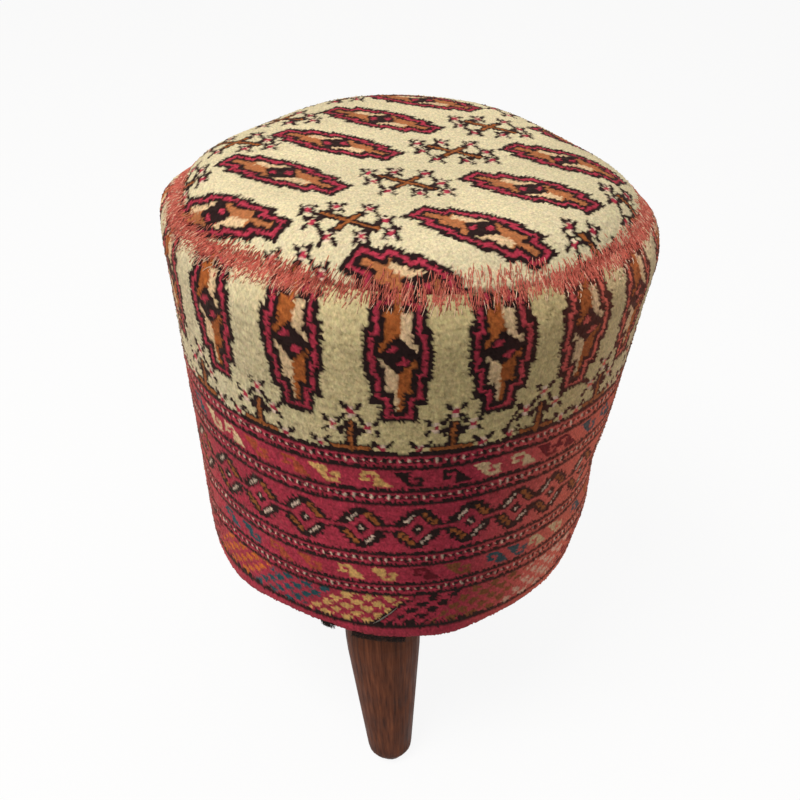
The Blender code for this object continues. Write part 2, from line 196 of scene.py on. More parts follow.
def seam_drift(azimuth):
    """How far the hand-sewn seam wanders below its true ring."""
    turn = (np.degrees(azimuth) + 180.0) % 360.0 - 180.0
    return 0.0072 * np.exp(-((turn + 64.0) / 17.0) ** 2) + 0.003 * np.exp(-((np.abs(turn) - 115.0) / 24.0) ** 2)


def band_drift(azimuth):
    """How far the carpet's bands wander below their true rings."""
    turn = (np.degrees(azimuth) + 180.0) % 360.0 - 180.0
    return np.interp(turn, (-110, -60, -20, 0, 12, 25, 45, 110), (0.0, 0.0043, 0.0043, 0.0015, -0.0005, -0.004, -0.004, 0.0))


def lower_drop(azimuth):
    """How far the carpet's lower edge hangs below the drum's bottom."""
    turn = np.degrees(azimuth)
    front = 0.007 * np.exp(-(turn / 20.0) ** 2) + 0.004 * np.exp(-((turn - 18.0) / 8.0) ** 2)
    tucked = 0.0015 * np.exp(-((turn - 43.0) / 9.0) ** 2)
    return front - tucked + 0.0105 * np.exp(-((turn + 51.0) / 15.0) ** 2)


def painted_side_shade(azimuth):
    """Painted shade and light round the side carpet: darker at the front and front right, lighter at the left and far
    right.
    """
    turns = (-180, -60, -30, -11, 8, 25, 40, 60, 120, 180)
    return np.interp(np.degrees(azimuth), turns, (1.0, 1.15, 1.04, 0.96, 0.76, 0.77, 0.88, 1.27, 1.05, 1.0))


def painted_cream_shade(azimuth):
    """Share of painted shade on the cream ground, dimmer and warmer, most at the front and front right."""
    return np.interp(np.degrees(azimuth), (-45, -15, 5, 40, 75), (0.0, 0.77, 1.0, 1.0, 0.0))


def painted_sheen_share(azimuth):
    """Share of painted sheen on the side carpet, pale salmon on its reds, most at its right and a little at its left.
    """
    turns = (-130, -70, -48, 18, 32, 45, 60, 100, 150)
    return np.interp(np.degrees(azimuth), turns, (0.0, 0.35, 0.0, 0.0, 0.3, 0.75, 0.95, 0.7, 0.0))


def new_mesh(name, points, faces, smooth=True):
    """Object of points and faces, in the scene."""
    mesh = bpy.data.meshes.new(name)
    mesh.from_pydata(np.asarray(points).tolist(), [], faces)
    mesh.polygons.foreach_set("use_smooth", [smooth] * len(mesh.polygons))
    mesh.update()
    piece = bpy.data.objects.new(name, mesh)
    bpy.context.scene.collection.objects.link(piece)
    return piece


def set_colour(piece, colours):
    """Stores a linear colour for each point of a piece."""
    attribute = piece.data.color_attributes.new("yarn", "FLOAT_COLOR", "POINT")
    rgba = np.ones((len(colours), 4))
    rgba[:, :3] = colours
    attribute.data.foreach_set("color", rgba.ravel().astype(np.float32))


def set_layout(piece, corners):
    """Stores flat coordinates for each face corner of a piece, in the order of its loops."""
    layer = piece.data.uv_layers.new(name="OFBake")
    layer.data.foreach_set("uv", np.asarray(corners, np.float32).ravel())


def grid_faces(rows, columns, wrap=False, first=0):
    """Quads between rows of points, as an array of indices."""
    row, column = np.meshgrid(np.arange(rows - 1), np.arange(columns if wrap else columns - 1), indexing="ij")
    after = (column + 1) % columns
    quads = np.stack((row * columns + column, (row + 1) * columns + column,
                      (row + 1) * columns + after, row * columns + after), -1)
    return quads.reshape(-1, 4) + first


# Motifs of the carpet. Each paints inks where its shape lies, with across and row from its middle.

def gul_half_width(row):
    """Half width of the stepped gul at a row."""
    row = np.abs(row)
    return np.select([row < 6.0, row < 12.1, row < 17.0], [6.75, 5.75, 3.9], -9.0)


def paint_gul(ink, across, row, tooth, ivory_reach=17.0):
    """Stepped, quartered medallion with black and crimson rings and a black lozenge with two spots."""
    def inside(inset):
        return np.abs(across) + inset < gul_half_width(np.abs(row) + inset)

    ink[np.abs(across) - 0.8 * tooth < gul_half_width(row)] = INK["black"]
    ink[inside(1.05 + 0.4 * tooth)] = INK["crimson"]
    ink[inside(2.05 - 0.3 * tooth)] = INK["black"]
    upper = row < 0.0
    left = across < np.where(upper, 0.6, -0.2)
    heart = inside(3.05 + 0.3 * tooth)
    ink[heart] = INK["ivory"]
    ink[heart & ((upper == left) | (np.abs(row) > ivory_reach))] = INK["orange"]
    ink[np.abs(across) / 4.3 + np.abs(row) / 4.5 < 1.0] = INK["black"]
    for flip in (1.0, -1.0):
        aside, along = flip * across - 1.0, flip * row - 1.5
        ink[np.abs(aside) / 1.35 + np.abs(along + 0.35 * aside) / 1.0 < 1.0] = INK["crimson"]


def paint_flowerlet(ink, across, row):
    """Small flower: black claws at its four corners, and a crimson heart with white above and below it."""
    wide, rise = np.abs(across), np.abs(row)
    claw = (np.abs(wide - 1.35) < 0.6) & (np.abs(rise - 1.15) < 0.65)
    claw |= (np.abs(wide - 1.95) < 0.5) & (np.abs(rise - 1.85) < 0.5)
    ink[claw] = INK["black"]
    ink[(wide < 0.6) & (np.abs(rise - 1.0) < 0.4)] = INK["white"]
    ink[(wide < 0.7) & (rise < 0.65)] = INK["crimson"]


def paint_seat_flowerlet(ink, across, row):
    """Small flower of the seat: black brackets with claws beside a crimson heart that is flecked with white."""
    wide, rise = np.abs(across), np.abs(row)
    claw = (np.abs(wide - 1.2) < 0.58) & (rise > 0.1) & (rise < 1.5)
    claw |= (np.abs(wide - 1.75) < 0.5) & (np.abs(rise - 1.55) < 0.55)
    claw |= (wide < 0.5) & (np.abs(row - 1.6) < 0.45)
    ink[claw] = INK["black"]
    ink[(np.abs(wide - 0.4) < 0.3) & (np.abs(rise - 0.8) < 0.22)] = INK["white"]
    ink[(wide < 0.65) & (rise < 0.65)] = INK["crimson"]


def paint_cross(ink, across, row, turned=False):
    """Cross-shaped flower: brown stems edged black, with flowerlets at their ends and between them."""
    stem = (np.abs(across) < 1.35) & (np.abs(row) < 7.6)
    arm = (row > -1.15) & (row < 1.1) & (np.abs(across) < 4.9)
    ink[stem | arm] = INK["black"]
    twig = np.abs(np.abs(row) - 5.7 + 0.2 * np.abs(across)) < 0.6
    ink[twig & (np.abs(across) < 2.8)] = INK["black"]
    core = (np.abs(across) < 0.38) & (np.abs(row) < 7.2)
    ink[core | ((np.abs(row) < 0.4) & (np.abs(across) < 4.5))] = INK["brown"]
    for side_across, side_row in ((0.0, 10.0), (6.8, 0.0), (3.9, 6.0)):
        for flip in (1.0, -1.0):
            for turn in (1.0, -1.0) if side_across * side_row else (1.0,):
                aside, along = across - flip * side_across, row - flip * turn * side_row
                if turned:
                    aside, along = 0.64 * aside + 0.97 * along, 0.68 * aside - 0.36 * along
                    paint_seat_flowerlet(ink, aside, along)
                else:
                    paint_flowerlet(ink, aside, along)


def paint_rosette(ink, across, row):
    """Stepped rosette of the main border, with bars to the rosettes beside it."""
    wide, rise = np.abs(across), np.abs(row)
    stepped = (np.floor(wide / 1.5) + 0.5) * 1.5 / 5.6 + (np.floor(rise / 1.5) + 0.5) * 1.5 / 6.7
    bar = np.abs(row + 0.2)
    ink[(bar < 1.35) & (wide < 7.2)] = INK["black"]
    ink[(bar < 0.6) & (wide < 7.2)] = INK["crimson"]
    ink[np.maximum(np.maximum(wide / 5.6, rise / 6.7), stepped / 1.36) < 1.0] = INK["black"]
    diamond = wide / 3.4 + rise / 4.2
    ink[diamond < 1.08] = INK["crimson"]
    ink[(bar < 0.6) & (wide < 5.6)] = INK["crimson"]
    ink[wide / 1.8 + rise / 2.0 < 1.0] = INK["black"]
    ink[(wide < 0.45) & (rise < 0.45)] = INK["white"]
    stroke = (np.abs(diamond - 1.48) < 0.11) & (across * row > 0.0)
    ink[stroke & (wide > 1.0) & (rise > 2.0)] = INK["white"]
    for flip in (1.0, -1.0):
        for spot_across, spot_row in ((1.4, -4.5), (2.7, -3.1), (3.8, -1.8)):
            away = np.maximum(np.abs(across - flip * spot_across), np.abs(row - flip * spot_row))
            ink[away < 0.68] = INK["brown"]


def paint_hook(ink, across, row, colour):
    """Triangle and hook of the minor borders."""
    across = across / 1.12
    shape = (across < 0.3) & (row > -2.3) & (row < 2.0) & (across > -3.2 + (row + 2.0) * 0.8)
    shape |= (across > 0.0) & (across < 2.8) & (row > 1.1) & (row < 2.2)
    shape |= (across > 2.0) & (across < 2.9) & (row > -0.7) & (row < 2.2)
    shape |= (across > 1.0) & (across < 2.9) & (row > -0.8) & (row < 0.2)
    ink[shape] = INK[colour]


def paint_flower_blocks(ink, across, row):
    """Outer border: slanting blocks of small flowers, each block in its own colour."""
    blocks = (("rust", 19.0), ("teal", 19.0), ("gold", 21.0), ("black", 14.0), ("olive", 21.0),
              ("rose", 20.0), ("oxblood", 17.0))
    slant = across + 0.85 * row + 57.0
    place = slant % sum(width for _, width in blocks)
    line = np.round(row / 2.25)
    step = (across - 2.9 * (line % 2.0) + 2.9) % 5.8 - 2.9
    rise = row - 2.25 * line
    flower = (np.abs(step) < 0.55) & (np.abs(rise) < 1.6)
    flower |= (np.abs(step) < 1.0) & (np.abs(rise) < 1.0)
    flower |= (np.abs(step) < 1.6) & (np.abs(rise + 0.3) < 0.55)
    start = 0.0
    for colour, width in blocks:
        ink[flower & (place >= start) & (place < start + width - 1.5)] = INK[colour]
        start += width
    gold_end = sum(width for _, width in blocks[:3])
    ink[(np.abs(place - gold_end + 1.2) < 0.7) & (row > -4.0)] = INK["black"]
    ink[(np.abs(place - gold_end - 1.4) < 0.75)] = INK["crimson"]


def wrapped(across, middle):
    """Knots from a motif's middle, the short way round the drum."""
    return (across - middle + KNOTS_ROUND / 2.0) % KNOTS_ROUND - KNOTS_ROUND / 2.0


def paint_at(ink, spot, paint, *places):
    """Paints a motif on the points picked by spot, with its coordinates there."""
    part = ink[spot]
    paint(part, *(place[spot] for place in places))
    ink[spot] = part


def field_lean(across, row):
    """Knots by which the field is pulled aside near the seam, where the strip was gathered in sewing."""
    turns = (-60, -43, -22, 0, 19, 30, 39, 60, 110)
    most = np.interp(across * 360.0 / KNOTS_ROUND, turns, (-1.9, -1.9, -1.25, -1.5, -2.0, -0.3, 0.9, 1.2, 0.0))
    return most * np.clip(1.0 - row / 27.0, 0.0, 1.0)


def side_chart(across, row, tooth):
    """Inks of the side carpet at points given in knots."""
    ink = np.full(across.shape, INK["cream"])
    gathered = across - field_lean(across, row)
    for turn in GUL_TURNS:
        near = wrapped(gathered, turn * KNOTS_ROUND / 360.0)
        paint_at(ink, (np.abs(near) < 9.0) & (row < 32.0), paint_gul, near, row - GUL_ROW, tooth)
    for turn in FLOWER_TURNS:
        near = wrapped(across, turn * KNOTS_ROUND / 360.0)
        paint_at(ink, (np.abs(near) < 10.0) & (row > 24.0), paint_cross, near, row - FLOWER_ROW)
    slit = wrapped(across, SLIT_TURN * KNOTS_ROUND / 360.0) - 0.9 * np.cos(0.6 * (row - 31.0))
    ink[(np.abs(slit) < 0.45) & (row > 31.0) & (row < 37.5)] = INK["black"]
    ink[row > FIELD_END] = INK["crimson"]
    for turn in ROSETTE_TURNS:
        near = wrapped(across, turn * KNOTS_ROUND / 360.0)
        paint_at(ink, (np.abs(near) < 7.2) & (np.abs(row - ROSETTE_ROW) < 8.0), paint_rosette, near, row - ROSETTE_ROW)
    for middle, hooks in ((47.0, UPPER_HOOKS), (79.0, LOWER_HOOKS)):
        for turn, flip, colour in hooks + LATER_HOOKS:
            near = flip * wrapped(across, turn * KNOTS_ROUND / 360.0)
            spot = (np.abs(near) < 5.0) & (np.abs(row - middle) < 3.4)
            part = ink[spot]
            paint_hook(part, near[spot], flip * (row[spot] - middle), colour)
            ink[spot] = part
    paint_at(ink, (row > 87.0) & (row < 98.5), paint_flower_blocks, wrapped(across, 0.0), row - 93.0)
    for line in LINE_ROWS:
        ink[(row - line > -0.5 - 0.7 * tooth) & (row - line < 0.9 - 0.5 * tooth)] = INK["black"]
    for line in DOT_ROWS:
        level = np.abs(row - line)
        ink[(level < 0.6) & (np.abs(across % 2.0 - 1.5) < 0.55)] = INK["black"]
        ink[(level < 0.45) & (np.abs(across % 2.0 - 0.5) < 0.3)] = INK["white"]
    return ink


def top_chart(across, row, tooth):
    """Inks of the top carpet at points given in knots from the seat's middle."""
    ink = np.full(across.shape, INK["cream"])

    def from_middle(place):
        near = across - np.dot(place, WEFT) / TOP_KNOT
        rise = row - np.dot(place, WARP) / TOP_KNOT
        return near / math.cos(WEFT_LEAN), rise - near * math.tan(WEFT_LEAN)

    for right, back, skew, stretch, narrow in TOP_GULS:
        near, rise = from_middle((right, back))
        near = narrow * (near + skew * rise)
        spot = (np.abs(near) < 9.0) & (np.abs(rise) < 22.0)
        part = ink[spot]
        paint_gul(part, near[spot], 1.04 * rise[spot] / stretch, tooth[spot], 8.5)
        ink[spot] = part
    for place in TOP_FLOWERS:
        near, rise = from_middle(place)
        spot = (np.abs(near) < 10.0) & (np.abs(rise) < 13.0)
        part = ink[spot]
        paint_cross(part, near[spot], rise[spot], True)
        ink[spot] = part
    return ink


INK_COLOURS = np.stack([linear(colour) for colour in PALETTE.values()])


def dyed(ink, draw, ground):
    """Colours of inks, with the differences from knot to knot of hand-dyed wool, small in the cream ground."""
    spread = np.where(ink == INK["cream"], ground, 0.13)
    shade = 1.0 + (spread * draw.standard_normal(ink.shape))[..., None]
    hue = 1.0 + 0.025 * draw.standard_normal(ink.shape + (3,))
    return np.clip(INK_COLOURS[ink] * shade * hue, 0.0, 1.0)


def pile_lift(half_row, half_column, draw):
    """Height of the pile at half-knot points: a tuft in the middle of each knot, lower between rows."""
    tuft = 0.6 * (half_row % 2) + 0.4 * (half_column % 2)
    return PILE_RELIEF * (tuft - 0.8) + KNOT_SPREAD * draw.standard_normal(half_row.shape)


def build_side_carpet(material):
    """Strip of carpet round the drum, knot by knot, joined behind."""
    draw = np.random.default_rng(7)
    columns = 2 * KNOTS_ROUND
    half_row, half_column = np.meshgrid(np.arange(2, 2 * SIDE_ROWS + 1), np.arange(columns), indexing="ij")
    azimuth = half_column / columns * 2.0 * np.pi - np.pi
    row = half_row / 2.0
    share = (row - 1.0) / (SIDE_ROWS - 1.0)
    top = seam_drift(azimuth) + GAP / 2.0
    settle = np.clip((row - 1.0) / 20.0, 0.0, 1.0)
    fade = 1.0 - np.clip((share - 0.55) / 0.45, 0.0, 1.0) ** 2
    down = top + settle * (band_drift(azimuth) * fade - top) + share * SIDE_REACH
    lift = pile_lift(half_row, half_column, draw)
    sway = PILE_LEAN * draw.standard_normal((2,) + row.shape)
    lean = PILE_LEAN * (half_row % 2)
    down_now = np.clip(down + lean + sway[0] * (share > 0.0) * (share < 1.0), top, SIDE_REACH)
    lift[-1] = -PILE_RELIEF
    points, _ = skin_point(down_now, azimuth + sway[1] / SEAM_RADIUS, lift)
    points[..., 2] -= lower_drop(azimuth) * np.clip((row - 97.5) / 5.0, 0.0, 1.0)
    across = half_column / 2.0 - KNOTS_ROUND / 2.0
    tooth = 0.55 * (half_row % 2) * draw.uniform(0.3, 1.2, row.shape)
    wander = draw.uniform(-0.22, 0.22, (2,) + row.shape) * np.where(row > 87.0, 2.2, 1.0)
    ink = side_chart(across + wander[0], row + wander[1] * 0.6, tooth)
    plain = np.isin(np.round(row * 2).astype(int) / 2.0, LINE_ROWS + DOT_ROWS)
    ink = np.where(plain, side_chart(across, row, tooth), ink)
    # Painted shade and light in the side carpet's colours, by azimuth round the drum
    colours = dyed(ink, draw, 0.07) * painted_side_shade(azimuth)[..., None]
    # Painted shade on the cream ground: dimmer and warmer at the front and front right
    warmth = painted_cream_shade(azimuth) * (ink == INK["cream"])
    colours *= 1.0 - warmth[..., None] * np.array((0.07, 0.13, 0.32))
    # Painted sheen: the reds, and a little of the other colours, drawn towards pale salmon at the drum's right and
    # left
    painted_sheen = painted_sheen_share(azimuth) * np.where(ink == INK["crimson"], 0.9, 0.12)
    colours += painted_sheen[..., None] * (linear((244, 127, 102)) - colours)
    depth = np.array((0.0, 0.08, 0.2, 0.6, 1.0))
    inner_turn = np.broadcast_to(azimuth[0], (len(depth), columns))
    inner_down = top[0] + depth[:, None] * (SIDE_REACH - LOWER_EDGE_RADIUS * 1.6 - top[0])
    inner, _ = skin_point(inner_down, inner_turn, -CARPET)
    inner[-1, :, 2] -= lower_drop(azimuth[0])
    outer_rows = half_row.shape[0]
    count = points[..., 0].size
    faces = grid_faces(outer_rows, columns, True)
    back = grid_faces(len(depth), columns, True, count)[:, ::-1]
    ring = np.arange(columns)
    after = (ring + 1) % columns
    top_rim = np.stack((ring, after, after + count, ring + count), -1)
    last, inner_last = (outer_rows - 1) * columns, count + (len(depth) - 1) * columns
    low_rim = np.stack((after + last, ring + last, ring + inner_last, after + inner_last), -1)
    every = np.concatenate((faces, back, top_rim, low_rim))
    piece = new_mesh("side_carpet", np.concatenate((points.reshape(-1, 3), inner.reshape(-1, 3))), every.tolist())
    backing = np.broadcast_to(linear((150, 132, 104)), (inner[..., 0].size, 3))
    set_colour(piece, np.concatenate((colours.reshape(-1, 3), backing)))
    flat_row = np.concatenate((0.04 + 0.9 * share[:, 0], 0.96 + 0.03 * depth))
    side = every % columns
    side = np.where((side == 0) & (side.max(1, keepdims=True) == columns - 1), columns, side)
    level = flat_row[every // columns]
    set_layout(piece, np.stack((side / columns, level), -1))
    piece.data.materials.append(material)
    return piece


def lightened_seat(colours, ink, flat):
    """Colours of the seat with painted light: its cream lighter, more so towards the back, and its orange paler and
    lighter.
    """
    cream = (ink == INK["cream"])[..., None]
    orange = (ink == INK["orange"])[..., None]
    # Painted light: the seat's cream lighter all over, more so towards the back
    pale = colours * (1.09 + 0.4 * flat[..., 1:])
    paler_orange = 1.08 * (colours + 0.08 * (INK_COLOURS[INK["cream"]] - colours))
    return np.clip(np.where(cream, pale, np.where(orange, paler_orange, colours)), 0.0, 1.0)


def build_top_carpet(material):
    """Crowned round of carpet on the seat, knot by knot along its own weft and warp."""
    draw = np.random.default_rng(8)
    half = TOP_KNOT / 2.0
    reach = int(TOP_REACH / half) + 4
    steps = np.arange(-reach, reach + 1)
    half_row, half_column = np.meshgrid(steps, steps, indexing="ij")
    flat = half * (half_column[..., None] * WEFT + half_row[..., None] * WARP)
    sway = PILE_LEAN * draw.standard_normal(flat.shape)
    distance = np.linalg.norm(flat, axis=-1)
    azimuth = np.arctan2(flat[..., 0], -flat[..., 1])
    limit = TOP_REACH + seam_drift(azimuth) - GAP / 2.0
    within = distance < limit - 0.3 * half
    cell = within[:-1, :-1] & within[1:, :-1] & within[:-1, 1:] & within[1:, 1:]
    beside = np.pad(cell, 1).astype(int)
    touching = beside[:-1, :-1] + beside[1:, :-1] + beside[:-1, 1:] + beside[1:, 1:]
    border = (touching > 0) & (touching < 4)
    lift = pile_lift(half_row, half_column, draw)
    lift[border] = -PILE_RELIEF
    moved = np.where(border[..., None], flat, flat + sway)
    distance = np.where(border, limit, np.minimum(np.linalg.norm(moved, axis=-1), limit))
    turn = np.arctan2(moved[..., 0], -moved[..., 1])
    points, _ = skin_point(distance - TOP_REACH, turn, lift)
    tooth = 0.55 * (half_row % 2) * draw.uniform(0.3, 1.2, half_row.shape)
    wander = draw.uniform(-0.22, 0.22, flat.shape)
    ink = top_chart(half_column / 2.0 + wander[..., 0], half_row / 2.0 + wander[..., 1] * 0.6, tooth)
    colours = lightened_seat(dyed(ink, draw, 0.04), ink, flat)
    number = np.full(half_row.shape, -1)
    number[touching > 0] = np.arange((touching > 0).sum())
    faces = np.stack((number[:-1, :-1], number[1:, :-1], number[1:, 1:], number[:-1, 1:]), -1)[cell]
    outer = points[touching > 0]
    ring = number[border][np.argsort(azimuth[border])]
    ring_turn = np.sort(azimuth[border])
    shares = (1.0, 0.96, 0.9, 0.8, 0.6, 0.3)
    inner_down = np.concatenate([share * limit[border][np.argsort(azimuth[border])] for share in shares])
    inner, _ = skin_point(inner_down - TOP_REACH, np.tile(ring_turn, len(shares)), -CARPET)
    middle = skin_point(np.array([-TOP_REACH]), np.array([0.0]), -CARPET)[0]
    first = len(outer)
    size = len(ring)
    after = (np.arange(size) + 1) % size
    rim = np.stack((ring[after], ring, first + np.arange(size), first + after), -1)
    back = grid_faces(len(shares), size, True, first)
    last = first + (len(shares) - 1) * size
    fan = [(last + i, last + size, last + (i + 1) % size) for i in range(size)]
    every = np.concatenate((faces, rim, back)).tolist() + fan
    piece = new_mesh("top_carpet", np.concatenate((outer, inner, middle)), every)
    backing = np.broadcast_to(linear((150, 132, 104)), (len(inner) + 1, 3))
    set_colour(piece, np.concatenate((colours[touching > 0], backing)))
    spread = np.concatenate((0.5 + flat[touching > 0] / 0.4, 0.94 + inner[:, :2] / 3.2, [(0.94, 0.94)]))
    set_layout(piece, spread[[corner for face in every for corner in face]])
    piece.data.materials.append(material)
    return piece


def strands(name, path, normal, thick, shade, material):
    """Piece of thin three-sided strands along paths of points, each in its own colour."""
    sides = 3
    count, beads = path.shape[:2]
    run = np.gradient(path, axis=1)
    run /= np.linalg.norm(run, axis=-1, keepdims=True)
    beside = np.cross(run, normal)
    rings = []
    for side in range(sides):
        angle = 2.0 * np.pi * side / sides
        rings.append(path + thick[..., None] * (math.cos(angle) * normal + math.sin(angle) * beside))
    points = np.stack(rings, 2)
    number = np.arange(points[..., 0].size).reshape(count, beads, sides)
    ahead = np.roll(number, -1, axis=2)
    tube = np.stack((number[:, :-1], ahead[:, :-1], ahead[:, 1:], number[:, 1:]), -1).reshape(-1, 4)
    ends = np.concatenate((number[:, 0, ::-1], number[:, -1]))
    piece = new_mesh(name, points.reshape(-1, 3), tube.tolist() + ends.tolist())
    set_colour(piece, np.repeat(np.clip(shade, 0.0, 1.0), beads * sides, axis=0))
    piece.data.materials.append(material)
    return piece


def build_stitches(material):
    """Overcast stitches that sew the two carpets together, in several passes of thin yarn, and one grey thread."""
    draw = np.random.default_rng(11)
    passes = ((4600, -0.0022, 0.0085, 0.0004, 180.0), (4600, 0.0030, 0.0085, 0.00035, 180.0),
              (700, 0.0005, 0.0095, 0.0005, 180.0), (1100, -0.0088, 0.0063, 0.0003, 180.0),
              (240, 0.0045, 0.0085, 0.0004, 26.0), (320, 0.0082, 0.004, 0.0004, 80.0))
    places = [GREY_THREAD]
    for count, middle, length, high, reach in passes:
        azimuth = np.radians(draw.uniform(-reach, reach, count))
        turn = np.degrees(azimuth)
        dense = np.select([(turn < -22) & (turn > -120), np.abs(turn) < 32], [1.0, 0.27], 0.8)
        if middle < -0.005:
            dense = np.where((turn > 4.0) & (turn < 33.0), 1.0, 0.07)
        azimuth = azimuth[draw.uniform(0.0, 1.0, count) < dense]
        size = len(azimuth)
        slant = np.interp(np.degrees(azimuth), (-120, -60, -25, 0, 180), (0.2, 0.5, 0.35, 0.1, 0.05))
        turn = np.degrees(azimuth)
        length = length * np.interp(turn, (-40, -18, 28, 40, 180), (0.78, 1.5, 1.4, 0.75, 0.7))
        strewn = np.interp(turn, (-40, -18, 28, 40, 180), (0.0034, 0.002, 0.002, 0.0026, 0.0026))
        lower = middle + np.interp(turn, (-70, -50, -40, -18), (0.0, 0.0018, 0.0018, 0.0))
        places.append(np.stack((azimuth, lower + strewn * draw.standard_normal(size),
                                length * draw.uniform(0.6, 1.15, size), high * draw.uniform(0.4, 1.3, size),
                                slant + 0.19 * draw.choice((-1.0, 1.0), size) + draw.normal(0.0, 0.07, size)), -1))
    azimuth, middle, length, high, tilt = (value[:, None] for value in np.concatenate(places).T)
    count = len(azimuth)
    share = np.array(((-0.5, -0.22, 0.22, 0.5),))
    down = seam_drift(azimuth) + middle + length * share * np.cos(tilt)
    turn = azimuth - length * share * np.sin(tilt) / SEAM_RADIUS
    lift = 0.7 * high * (1.0 - (2.0 * share) ** 2) - 0.0006 * (2.0 * np.abs(share)) ** 4
    path, normal = skin_point(down, turn, lift)
    thick = 0.00025 * draw.uniform(0.75, 1.2, azimuth.shape) * (1.0 - 0.45 * (2.0 * np.abs(share)) ** 3)
    tones = ((212, 116, 99), (200, 102, 88), (178, 81, 70), (226, 152, 130), (238, 204, 174))
    tones = np.stack([linear(tone) for tone in tones])
    shade = tones[draw.choice(len(tones), count, p=(0.4, 0.3, 0.16, 0.1, 0.04))]
    shade = shade * (1.0 + 0.09 * draw.standard_normal((count, 1)))
    tips = (middle[:, 0] > 0.0068) & (draw.uniform(0.0, 1.0, count) < 0.6)
    shade[tips] = tones[-1]
    threads = len(GREY_THREAD)
    thick[:threads] *= 2.2
    shade[:threads] = linear((112, 106, 100))
    return strands("seam_stitches", path, normal, thick, shade, material)


def build_lining_and_shadow_fringe(material):
    """Dark strands below the carpet's lower edge in front, with a tuft at its left: partly the frayed edge of the
    black lining, partly a painted shadow under the carpet.
    """
    draw = np.random.default_rng(12)
    count, tuft = 520, 180
    azimuth = np.radians(np.concatenate((draw.uniform(-10.0, 5.0, count), -17.0 + 0.8 * draw.standard_normal(tuft))))
    length = np.concatenate((draw.uniform(0.002, 0.004, count), draw.uniform(0.001, 0.0035, tuft)))
    share = np.linspace(0.0, 1.0, 4)[None, :]
    swing = draw.normal(0.0, 0.4, (2, len(azimuth), 1)) * length[:, None] * share ** 2
    start = np.concatenate((np.full(count, SIDE_REACH - 0.0045), np.full(tuft, SIDE_REACH - 0.006)))
    root, outward = skin_point(start, azimuth, -0.0004)
    outward = outward * (1.0, 1.0, 0.0)
    outward /= np.linalg.norm(outward, axis=-1, keepdims=True)
    aside = np.stack((-outward[:, 1], outward[:, 0], np.zeros(len(azimuth))), -1)
    path = root[:, None] + swing[0][..., None] * aside[:, None] - 0.3 * np.abs(swing[1])[..., None] * outward[:, None]
    path[..., 2] -= lower_drop(azimuth)[:, None] + (length[:, None] + 0.002) * share
    normal = np.broadcast_to(outward[:, None], path.shape)
    thick = 0.00016 * draw.uniform(0.7, 1.3, (len(azimuth), 1)) * (1.0 - 0.5 * share)
    shade = linear((34, 28, 27)) * draw.uniform(0.6, 1.8, (len(azimuth), 1))
    return strands("lining_and_shadow_fringe", path, normal, thick, shade, material)


def new_material(name):
    """Material, its node tree and its shader."""
    material = bpy.data.materials.new(name)
    material.use_nodes = True
    return material, material.node_tree, material.node_tree.nodes["Principled BSDF"]


def add_node(tree, kind, **inputs):
    """Shader node with values set on its sockets by name, where underscores stand for spaces."""
    node = tree.nodes.new("ShaderNode" + kind)
    for name, value in inputs.items():
        node.inputs[name.replace("_", " ")].default_value = value
    return node


def add_noise(tree, vector, scale, detail=2.0, roughness=0.5):
    """Noise texture on a coordinate."""
    noise = add_node(tree, "TexNoise", Scale=scale, Detail=detail, Roughness=roughness)
    tree.links.new(vector, noise.inputs["Vector"])
    return noise.outputs["Fac"]


def add_range(tree, value, low, high, from_low=0.3, from_high=0.7):
    """Value brought to a new range."""
    node = add_node(tree, "MapRange", From_Min=from_low, From_Max=from_high, To_Min=low, To_Max=high)
    tree.links.new(value, node.inputs["Value"])
    return node.outputs["Result"]


def add_shade(tree, colour, factor):
    """Colour times a factor."""
    node = tree.nodes.new("ShaderNodeMix")
    node.data_type = "RGBA"
    node.blend_type = "MULTIPLY"
    node.inputs["Factor"].default_value = 1.0
    tree.links.new(colour, node.inputs["A"])
    tree.links.new(factor, node.inputs["B"])
    return node.outputs["Result"]


def add_ramp(tree, value, stops):
    """Colour ramp through stops of position and display colour."""
    ramp = tree.nodes.new("ShaderNodeValToRGB")
    for _ in stops[2:]:
        ramp.color_ramp.elements.new(0.5)
    for element, (place, colour) in zip(ramp.color_ramp.elements, stops):
        element.position = place
        element.color = (*linear(colour), 1.0)
    tree.links.new(value, ramp.inputs["Fac"])
    return ramp.outputs["Color"]


def add_bump(tree, shader, height, strength, distance):
    """Bump on a shader's normal."""
    bump = add_node(tree, "Bump", Strength=strength, Distance=distance)
    tree.links.new(height, bump.inputs["Height"])
    tree.links.new(bump.outputs["Normal"], shader.inputs["Normal"])


def yarn_material(name, fibre, bump, sheen):
    """Wool, dyed in the colours that its mesh holds, with fibres, uneven dye and a soft sheen."""
    material, tree, shader = new_material(name)
    place = tree.nodes.new("ShaderNodeTexCoord").outputs["Object"]
    yarn = tree.nodes.new("ShaderNodeAttribute")
    yarn.attribute_name = "yarn"
    lean = add_node(tree, "Mapping", Rotation=(0.3, 0.75, 0.2), Scale=(1.0, 1.0, 0.45))
    tree.links.new(place, lean.inputs["Vector"])
    fine = add_noise(tree, lean.outputs["Vector"], fibre, 3.0, 0.6)
    cloud = add_noise(tree, place, 17.0, 3.0)
    colour = add_shade(tree, yarn.outputs["Color"], add_range(tree, fine, 0.74, 1.22))
    colour = add_shade(tree, colour, add_range(tree, cloud, 0.9, 1.08))
    tree.links.new(colour, shader.inputs["Base Color"])
    shader.inputs["Roughness"].default_value = 0.9
    shader.inputs["Specular IOR Level"].default_value = 0.1
    shader.inputs["Sheen Weight"].default_value = sheen
    shader.inputs["Sheen Roughness"].default_value = 0.4
    shader.inputs["Sheen Tint"].default_value = (1.0, 0.72, 0.55, 1.0)
    add_bump(tree, shader, fine, bump, 0.0006)
    return material


